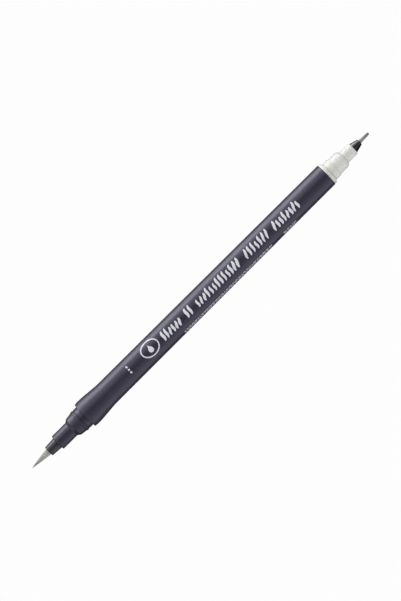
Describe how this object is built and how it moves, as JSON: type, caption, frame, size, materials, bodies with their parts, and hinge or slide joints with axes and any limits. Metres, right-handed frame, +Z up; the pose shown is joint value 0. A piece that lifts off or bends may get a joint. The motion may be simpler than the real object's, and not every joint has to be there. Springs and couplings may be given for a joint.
{
  "type": "calligraphy marker",
  "caption": "Slim double-ended calligraphy marker without its caps: a pointed filament brush at the flared grip end and a fine fibre nib at the other.",
  "frame": {"origin": "on the plane the marker lies on, under the middle of its length", "axes": "+X along the marker towards the fine nib, -X towards the brush, +Z up; the marker's own axis is parallel to X, at half the grip's largest diameter above the plane"},
  "size_m": [0.1634, 0.0104, 0.0104],
  "materials": {
    "barrel_plastic": "satin moulded polypropylene, dark purple-grey",
    "collar_plastic": "satin moulded polypropylene, dark purple-grey",
    "ferrule_plastic": "polished dark plastic",
    "filament": "fine nylon filaments stained by grey ink",
    "fused_filament": "fused nylon",
    "holder_plastic": "natural polypropylene",
    "relay_fibre": "bonded polyester fibre",
    "reservoir_fibre": "bundled polyester fibre soaked in ink",
    "wrap_film": "thin clear film",
    "natural_plastic": "natural translucent white polypropylene",
    "cone_plastic": "polished black plastic",
    "nib_fibre": "bonded fibre stained by grey ink",
    "pad_print": "pale grey printing ink"
  },
  "bodies": {
    "pen": {"barrel": "barrel_plastic", "brush_section": "collar_plastic", "brush_ferrule": "ferrule_plastic", "tuft_root": "fused_filament", "relay_core_holder": "holder_plastic", "brush_relay_core": "relay_fibre", "ink_reservoir": "reservoir_fibre", "reservoir_film": "wrap_film", "fine_section": "natural_plastic", "fine_nib_cone": "cone_plastic", "fine_nib": "nib_fibre"},
    "tuft": {"brush_tuft": "filament"}
  },
  "joints": [
    {"name": "tuft_flex", "type": "hinge", "parent": "pen", "child": "tuft", "pos_m": [-0.07345, 0, 0.0052], "axis": [0, 0, 1], "range_deg": [-30, 30], "stiffness_Nm_per_rad": 0.002}
  ]
}
